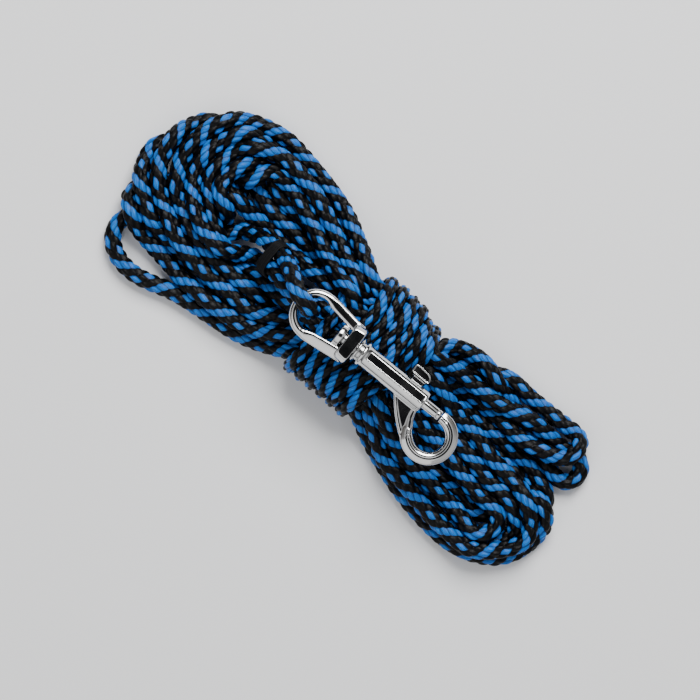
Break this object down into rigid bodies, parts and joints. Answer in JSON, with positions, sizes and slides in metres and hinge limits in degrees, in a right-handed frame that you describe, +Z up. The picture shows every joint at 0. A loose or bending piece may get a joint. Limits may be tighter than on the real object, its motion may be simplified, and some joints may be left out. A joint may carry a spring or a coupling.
{
  "type": "hanked lead rope with swivel bolt snap",
  "caption": "Braided cord folded into a hank and tied at its waist, with a plated swivel bolt snap at its end that swings, turns and opens by a sprung sliding bolt.",
  "frame": {"origin": "on the surface that the hank rests on, under the middle of the whole object's box", "axes": "+X along the snap's axis from its eye to its hook, which is the hank's length; +Y to the side of the thumb tab; +Z up"},
  "size_m": [0.204, 0.081, 0.0421],
  "materials": {
    "cord": "braided multifilament, black with bright blue carriers",
    "whipping": "waxed black thread",
    "plated": "polished nickel or chrome plate on a zinc casting",
    "spring_wire": "drawn wire"
  },
  "bodies": {
    "hank": {"head_loops": "cord", "tail_loops": "cord", "waist_wraps": "cord", "side_loop": "cord", "eye_loop": "cord", "eye_whipping": "whipping"},
    "eye": {"swivel_eye": "plated"},
    "snap": {"hook_body": "plated", "swivel_post": "plated", "return_spring": "spring_wire"},
    "bolt": {"bolt": "plated", "thumb_tab": "plated"}
  },
  "joints": [
    {"name": "eye_swing", "type": "hinge", "parent": "hank", "child": "eye", "pos_m": [-0.0216, -0.0045, 0.033], "axis": [0, -1, 0], "range_deg": [0, 85]},
    {"name": "swivel", "type": "hinge", "parent": "eye", "child": "snap", "pos_m": [0, -0.0045, 0.033], "axis": [1, 0, 0], "continuous": true},
    {"name": "bolt_slide", "type": "slide", "parent": "snap", "child": "bolt", "axis": [-1, 0, 0], "range_m": [0, 0.0075], "stiffness_N_per_m": 400, "springref_m": -0.006, "deforming": ["return_spring"]}
  ]
}
